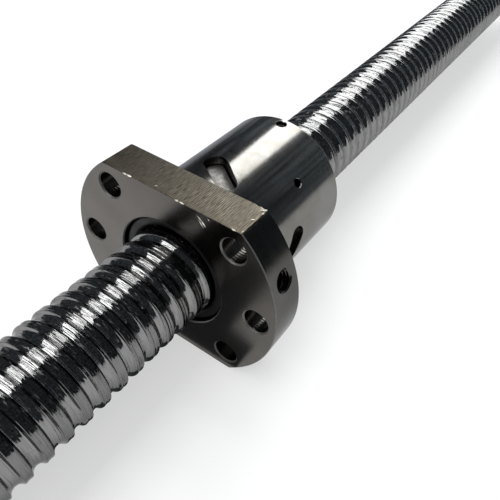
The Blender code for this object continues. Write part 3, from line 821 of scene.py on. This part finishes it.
def wedge_cutter(name, start, end, outward, width, depth):
    """A thin three-sided bar that cuts a scratch from start to end, pointed at both ends."""
    side = (end - start).cross(outward).normalized() * width / 2
    middle = start.lerp(end, 0.45)
    lift = outward * 0.02 * MM
    bm = bmesh.new()
    tips = [bm.verts.new(start + lift), bm.verts.new(end + lift)]
    corners = (side + outward * depth, -side + outward * depth, -outward * depth)
    ring = [bm.verts.new(middle + corner) for corner in corners]
    for index in range(3):
        for tip in tips:
            bm.faces.new((tip, ring[index], ring[(index + 1) % 3]))
    return new_object(bm, name)


def nick_cutters():
    """Dents along the top flat's edges, and scratches on the flat and on the face below it.

    Each has its start and end, which way it faces, its width and its depth, all in millimetres
    from the flange's face.
    """
    up, ahead = Vector((0, 0, 1)), Vector((-1, 0, 0))
    edge = (up + ahead).normalized()
    back_edge = (up - ahead).normalized()
    corner = (up + Vector((0, -1, 0))).normalized()
    marks = (
        ((0.06, 13.3, 23.90), (0.10, 11.8, 23.90), edge, 0.80, 0.40),
        ((0.10, 12.1, 23.90), (0.20, 10.4, 23.92), edge, 1.00, 0.42),
        ((0.90, 4.6, 24.0), (1.30, 3.7, 24.0), up, 0.30, 0.12),
        ((0.06, -2.0, 23.90), (0.14, -3.1, 23.90), edge, 0.80, 0.40),
        ((0.12, -3.2, 23.90), (0.08, -4.6, 23.90), edge, 0.85, 0.40),
        ((9.90, -15.9, 23.90), (9.84, -18.4, 23.90), back_edge, 1.1, 0.55),
        ((9.90, -17.6, 23.90), (9.70, -19.7, 23.86), back_edge, 1.3, 0.60),
        ((5.0, -18.4, 24.0), (5.6, -19.3, 24.0), up, 0.65, 0.22),
        ((8.9, -18.3, 24.0), (9.7, -19.6, 24.0), up, 0.80, 0.25),
        ((0.2, -17.0, 23.95), (0.1, -18.2, 23.92), edge, 0.60, 0.30),
        ((7.6, -19.3, 23.95), (8.9, -19.5, 23.95), corner, 0.45, 0.22),
        ((0.5, -19.2, 24.0), (1.3, -19.5, 24.0), up, 0.40, 0.18),
        ((0.0, -7.9, 22.9), (0.0, -9.9, 21.5), ahead, 0.50, 0.18),
        ((0.0, -9.2, 22.1), (0.0, -10.6, 20.6), ahead, 0.95, 0.24),
        ((0.0, -8.4, 22.0), (0.0, -10.2, 20.0), ahead, 0.45, 0.16),
        ((0.0, -10.8, 23.4), (0.0, -11.6, 22.9), ahead, 0.25, 0.12),
    )
    face = Vector((FLANGE_FACE, 0, 0))
    cutters = []
    for index, (start, end, outward, width, depth) in enumerate(marks):
        first, last = (Vector(point) * MM + face for point in (start, end))
        cutters.append(wedge_cutter(f"nick_{index}", first, last, outward, width * MM, depth * MM))
    return cutters


def is_at_mouth(along):
    """Whether a place so far behind the flange's face is on a chamfer of the flange or the nut's end."""
    edge = 0.36 * MM
    on_flange_back = -edge < along - FLANGE_THICKNESS < 0.01 * MM
    return along < edge or on_flange_back or along > NUT_LENGTH - 0.7 * MM


def is_in_hole(centre, normal):
    """Whether a face of the nut is a wall of a hole, of a slot or of the bore."""
    radius = math.hypot(centre.y, centre.z)
    if abs(normal.x) > 0.3 and radius > SEAT_RADIUS and is_at_mouth(centre.x - FLANGE_FACE):
        return False
    if radius < SEAT_RADIUS + 1e-5:
        return radius > 0 and (normal.x > -0.3 or centre.x > FLANGE_FACE + 1 * MM)
    outward = Vector((0, centre.y, centre.z)).normalized()
    faces_out = normal.dot(outward) > 0.5
    on_skin = radius < NUT_RADIUS + 1e-5
    on_rim = radius > NUT_RADIUS + 1 * MM and abs(radius - FLANGE_RADIUS) < 0.6 * MM
    on_flat = abs(centre.z) > FLAT_HEIGHT - 0.3 * MM and abs(normal.z) > 0.5
    return not (faces_out and (on_skin or on_rim) or on_flat)


def nut_surface(centre, normal):
    """The material slot of a face of the nut."""
    radius = math.hypot(centre.y, centre.z)
    along = centre.x - FLANGE_FACE
    beside_flat = abs(centre.z) > FLAT_HEIGHT - 0.2 * MM
    on_flange = along < FLANGE_THICKNESS
    if radius > SEAT_RADIUS and 0.3 < abs(normal.x) < 0.95 and is_at_mouth(along) and not beside_flat:
        return WORN
    if abs(normal.x) > 0.99 and radius > SEAT_RADIUS and along < FLANGE_THICKNESS + 1e-5:
        return FACE
    if abs(normal.z) > 0.5 and beside_flat:
        return FLAT
    if is_in_hole(centre, normal):
        return HOLE
    if on_flange and radius > NUT_RADIUS + 1 * MM:
        return RIM
    return SKIN


def make_nut(*materials):
    nut = make_nut_blank()
    cutters = hole_cutters() + [slot_cutter(circuit) for circuit in range(CIRCUITS)]
    for material in materials:
        nut.data.materials.append(material)
    cut_away(nut, cutters)
    nicks = nick_cutters()
    for nick in nicks:
        for material in materials:
            nick.data.materials.append(material)
        for polygon in nick.data.polygons:
            polygon.material_index = NICK
    cut_away(nut, nicks)
    smooth(nut, 32)
    for polygon in nut.data.polygons:
        if polygon.material_index != NICK:
            polygon.material_index = nut_surface(polygon.center, polygon.normal)
    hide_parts("nut_body")
    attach(nut, "nut")


# ---- wipers, grub screws and balls ----


def make_wiper(name, face, way, material):
    """A black ring with a rounded lip towards the screw, turned from its outline in millimetres."""
    outline = (
        (4.2, 15.25),
        (0.45, 15.25),
        (0.20, 15.18),
        (0.05, 15.0),
        (0.0, 14.75),
        (0.0, 13.3),
        (0.12, 13.1),
        (0.55, 12.72),
        (0.85, 12.66),
        (1.25, 12.70),
        (3.8, 12.75),
        (4.2, 13.1),
    )
    points = [(way * x * MM, radius * MM) for x, radius in outline]
    bm = lathe(points, 128, closed=True, start=Vector((face, 0, 0)))
    piece = new_object(bm, name + "_ring", material)
    smooth(piece, 40)
    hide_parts(name)
    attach(piece, "wipers")


def make_grub(name, x, angle, top, material):
    """A set screw with a hexagon socket and a cone point."""
    bm = bmesh.new()
    axis = around(1, angle)
    side = Vector((1, 0, 0))
    other = axis.cross(side)
    head = top - 0.8 * MM
    point = 14.35 * MM
    steps = 24
    outside = ((point, 0.25), (point + 1.0 * MM, 1.15), (head - 0.12 * MM, 1.2), (head, 1.08))
    socket = ((head, 0.75), (head - 1.2 * MM, 0.75), (head - 1.5 * MM, 0.1))
    rings = []
    for level, (height, radius) in enumerate(outside + socket):
        ring = []
        for step in range(steps):
            turn = 2 * math.pi * step / steps
            reach = radius * MM
            if level >= len(outside):
                reach *= math.cos(math.pi / 6) / math.cos((turn % (math.pi / 3)) - math.pi / 6)
            place = axis * height + side * math.cos(turn) * reach + other * math.sin(turn) * reach
            ring.append(bm.verts.new(place + Vector((x, 0, 0))))
        rings.append(ring)
    bridge(bm, rings)
    bm.faces.new(rings[0])
    bm.faces.new(rings[-1])
    piece = new_object(bm, name + "_piece", material)
    smooth(piece, 30)
    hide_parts(name)
    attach(piece, "nut")


def circuit_point(circuit, share):
    """A point of a ball's way: share runs from -1 to 1 over the land, and on round the groove."""
    centre = FLANGE_FACE + FIRST_DEFLECTOR + DEFLECTOR_STEP * circuit
    half_step = LEAD / 2 - LEAD * CROSSING_HALF_ANGLE / 360
    angle = 90 + 90 * circuit + CROSSING_HALF_ANGLE * share
    if share > 1:
        x = centre - half_step + LEAD * CROSSING_HALF_ANGLE * (share - 1) / 360
        return around(BALL_CIRCLE, angle, x)
    lift = math.cos(share * math.pi / 2) ** 2
    radius = BALL_CIRCLE + (CROSSING_CIRCLE - BALL_CIRCLE) * lift
    return around(radius, angle, centre - half_step * math.sin(share * math.pi / 2))


def make_balls(name, circuit, first, last, count, material):
    """A string of round balls with their centres on the circuit."""
    samples = 600
    shares = [first + (last - first) * index / samples for index in range(samples + 1)]
    points = [circuit_point(circuit, share) for share in shares]
    distances = [0.0]
    for before, after in zip(points, points[1:]):
        distances.append(distances[-1] + (after - before).length)
    pitch = 2 * BALL_RADIUS * 0.985
    start = (distances[-1] - pitch * (count - 1)) / 2
    bm = bmesh.new()
    index = 1
    for ball in range(count):
        wanted = start + pitch * ball
        while index < samples and distances[index] < wanted:
            index += 1
        share = (wanted - distances[index - 1]) / (distances[index] - distances[index - 1])
        place = Matrix.Translation(points[index - 1].lerp(points[index], share))
        bmesh.ops.create_icosphere(bm, subdivisions=3, radius=BALL_RADIUS, matrix=place)
    piece = new_object(bm, name + "_string", material)
    smooth(piece, 60)
    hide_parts(name)
    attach(piece, "nut")


# ---- studio ----


def make_floor():
    """A pale floor that fades to white away from the set."""
    bm = bmesh.new()
    bmesh.ops.create_grid(bm, x_segments=1, y_segments=1, size=14.0)
    maker = Maker("pale_floor")
    diffuse = node(maker.tree, "ShaderNodeBsdfDiffuse")
    diffuse.inputs["Color"].default_value = (0.86, 0.86, 0.86, 1)
    white = maker.glow((1, 1, 1), 1.0)
    fade = maker.remap(maker.distance(maker.x, maker.y), 0.8, 2.4, 0.50, 1.0)
    blend = node(maker.tree, "ShaderNodeMixShader")
    shaders = (maker.times(seen_directly(maker.tree), fade), diffuse.outputs[0], white)
    for socket, source in zip(blend.inputs, shaders):
        maker.link(source, socket)
    floor = new_object(bm, "floor", maker.show(blend.outputs[0]))
    floor.location.z = -FLAT_HEIGHT - FLOOR_GAP


def make_dark_wall():
    """A dome of dark cards. They give the steel the dark bands of the photograph's room."""
    bm = bmesh.new()
    across, up = 64, 24
    distance = 2.2
    lowest, highest = -1, 90
    grid = []
    for row in range(up + 1):
        height = math.radians(lowest + (highest - lowest) * row / up)
        line = []
        for column in range(across + 1):
            turn = math.radians(-180 + 360 * column / across)
            reach = distance * math.cos(height)
            place = (reach * math.cos(turn), reach * math.sin(turn), distance * math.sin(height))
            line.append(bm.verts.new(place))
        grid.append(line)
    for low, high in zip(grid[:-1], grid[1:]):
        for column in range(across):
            bm.faces.new((low[column], low[column + 1], high[column + 1], high[column]))
    maker = Maker("dark_card")
    cloud = maker.remap(maker.noise(maker.where, 7.0, 3.0, 0.6), 0.46, 0.62, 0.3, 3.2)
    ahead = maker.remap(maker.x, 1.4, 2.1, 0.043, 0.360)
    aside = maker.remap(maker.y, 0.2, 1.2, 0.0, 0.030)
    level = maker.times(maker.plus(ahead, aside), cloud)
    wall = new_object(bm, "dark_card", maker.show(maker.glow((0.88, 1.0, 1.12), level)))
    wall.visible_camera = False


def make_low_card():
    """Cards on the floor for the steel to mirror.

    A dark one under the near end of the screw is a painted shadow of the screw, seen only in the steel's
    reflections, and one on the far side darkens with distance.
    """
    bm = bmesh.new()
    height = -FLAT_HEIGHT - CARD_GAP
    # Painted shadow: a dark card where the screw's shadow lies on the floor, seen only in reflections
    painted_screw_shadow = ((-42, -11.5), (-12, -12.0), (-10, -21), (-1, -21), (-1, 13), (-42, 13))
    far_side = ((-900, 600), (40, 600), (40, 34), (1900, 34), (1900, 1900), (-900, 1900))
    for corners in (painted_screw_shadow, far_side):
        bm.faces.new([bm.verts.new((FLANGE_FACE + x * MM, y * MM, height)) for x, y in corners])
    maker = Maker("low_cards_with_painted_shadow")
    dark, light = 0.065, 0.62
    far = maker.remap(maker.y, 0.030, 0.033)
    near = maker.math("SUBTRACT", 1.0, far)
    fade = maker.remap(maker.y, 0.180, 0.600, light, dark)
    level = maker.plus(maker.times(far, fade), maker.times(near, dark))
    card = new_object(bm, "low_cards_with_painted_shadow", maker.show(maker.glow((0.94, 1.0, 1.08), level)))
    card.visible_camera = False
    card.visible_diffuse = False
    card.visible_shadow = False


def make_world():
    """White to the camera and in mirrors, and a dimmer light for soft shade."""
    world = bpy.data.worlds.new("studio")
    bpy.context.scene.world = world
    world.use_nodes = True
    tree = world.node_tree
    background = tree.nodes["Background"]
    strength = node(tree, "ShaderNodeMapRange")
    tree.links.new(seen_directly(tree), strength.inputs["Value"])
    strength.inputs["To Min"].default_value = 0.45
    strength.inputs["To Max"].default_value = 1.0
    background.inputs["Color"].default_value = (1, 1, 1, 1)
    tree.links.new(strength.outputs[0], background.inputs["Strength"])


def add_arch_light(name, low, high, half_width, radiance):
    """One length of the soft light that arches over the screw, from ahead of it to behind the camera.

    The angles are degrees round the Y axis, from the +X horizon up. Seen from the flange the arch
    stands a little to the +Y side.
    """
    lean = math.radians(14)
    distance = 1.0
    middle = math.radians((low + high) / 2)
    length = 2 * distance * math.tan(math.radians((high - low) / 2))
    width = 2 * distance * math.tan(math.radians(half_width))
    level = math.cos(lean)
    towards = Vector((math.cos(middle) * level, math.sin(lean), math.sin(middle) * level))
    up = Vector((-math.sin(middle), 0, math.cos(middle)))
    lamp = bpy.data.lights.new(name, "AREA")
    lamp.shape = "RECTANGLE"
    lamp.size = width
    lamp.size_y = length
    lamp.energy = radiance * math.pi * width * length
    obj = add_object(name, lamp)
    matrix = Matrix((up.cross(towards), up, towards)).transposed().to_4x4()
    matrix.translation = towards * distance + Vector((FLANGE_FACE, 0, 0))
    obj.matrix_world = matrix
    obj.visible_camera = False


def add_arch_lights():
    """The arch's two long lamps, and behind them a row of slats with dark gaps between."""
    add_arch_light("arch_light_ahead", 2, 28, 11.5, 5.8)
    add_arch_light("arch_light_above", 28, 47, 11.5, 5.8)
    slats, first, slat_length, slat_step = 6, 53.5, 6.5, 16
    for index in range(slats):
        low = first + slat_step * index
        add_arch_light(f"arch_light_slat_{index + 1}", low, low + slat_length, 16.0, 7.5)


def add_fill_light():
    """A broad soft light for the floor and the plastic, from behind the camera. Steel doesn't mirror it."""
    lamp = bpy.data.lights.new("fill_light", "AREA")
    lamp.shape = "SQUARE"
    lamp.size = 1.2
    lamp.energy = 11.0
    obj = add_object("fill_light", lamp)
    obj.location = (-0.6, -0.7, 1.3)
    obj.rotation_euler = (-obj.location).to_track_quat("-Z", "Y").to_euler()
    obj.visible_camera = False
    obj.visible_glossy = False


def make_camera():
    """The photograph's viewpoint, found by fitting the flange, its holes and the thread to the picture."""
    right = Vector((0.57489, -0.81582, 0.06280))
    down = Vector((-0.55273, -0.44379, -0.70536))
    forward = Vector((0.60331, 0.37079, -0.70606))
    camera = bpy.data.cameras.new("camera")
    camera.sensor_width = 36
    camera.lens = 38.525
    camera.shift_x = 0.0268
    camera.shift_y = 0.0236
    camera.clip_start = 0.005
    camera.clip_end = 50
    obj = add_object("camera", camera)
    matrix = Matrix((right, -down, -forward)).transposed().to_4x4()
    matrix.translation = (FLANGE_FACE - 69.195 * MM, -61.536 * MM, 96.660 * MM)
    obj.matrix_world = matrix
    bpy.context.scene.camera = obj


make_camera()
make_world()
make_floor()
make_dark_wall()
make_low_card()
add_arch_lights()
add_fill_light()
bpy.context.scene.view_settings.view_transform = "Standard"

ground_screw = screw_steel()
ground_nut = nut_steel("ground_nut_steel", (0.208, 0.206, 0.199), (0.172, 0.168, 0.158), 0.12)
# Painted shade: the rim gets a darker copy of the nut's steel, for the shadowed floor it mirrors near the
# flange's foot
shaded_rim_steel = nut_steel("ground_rim_steel_painted_shade", (0.100, 0.098, 0.094), (0.083, 0.081, 0.077), 0.14)
ball = ball_steel()
insert = deflector_steel()
plastic = wiper_plastic()
blackened = black_steel()
ground_journal = nut_steel("ground_journal_steel", (0.260, 0.258, 0.252), (0.220, 0.217, 0.210), 0.11)

make_screw(ground_screw, ground_journal)
# In the order of the nut's material slots
make_nut(
    ground_nut,
    flange_steel(),
    milled_steel(),
    shaded_hole_steel(),
    shaded_rim_steel,
    painted_glint_nick_steel(),
    worn_edge_steel(),
)
make_wiper("wiper_front", FLANGE_FACE + WIPER_RECESS, 1, plastic)
make_wiper("wiper_rear", FLANGE_FACE + NUT_LENGTH - WIPER_RECESS, -1, plastic)
make_grub("grub_screw_front", FLANGE_FACE + GRUB_FRONT_PLACE, 270, FLAT_HEIGHT, blackened)
make_grub("grub_screw_rear_top", FLANGE_FACE + GRUB_REAR_PLACE, 90, NUT_RADIUS, blackened)
make_grub("grub_screw_rear_bottom", FLANGE_FACE + GRUB_REAR_PLACE, 270, NUT_RADIUS, blackened)
for circuit in range(CIRCUITS):
    make_deflector(circuit, insert)
    make_balls(f"return_balls_{circuit + 1}", circuit, -1, 1, RETURN_BALLS, ball)
    loaded_end = 360 / CROSSING_HALF_ANGLE - 1
    make_balls(f"loaded_balls_{circuit + 1}", circuit, 1, loaded_end, LOADED_BALLS, ball)
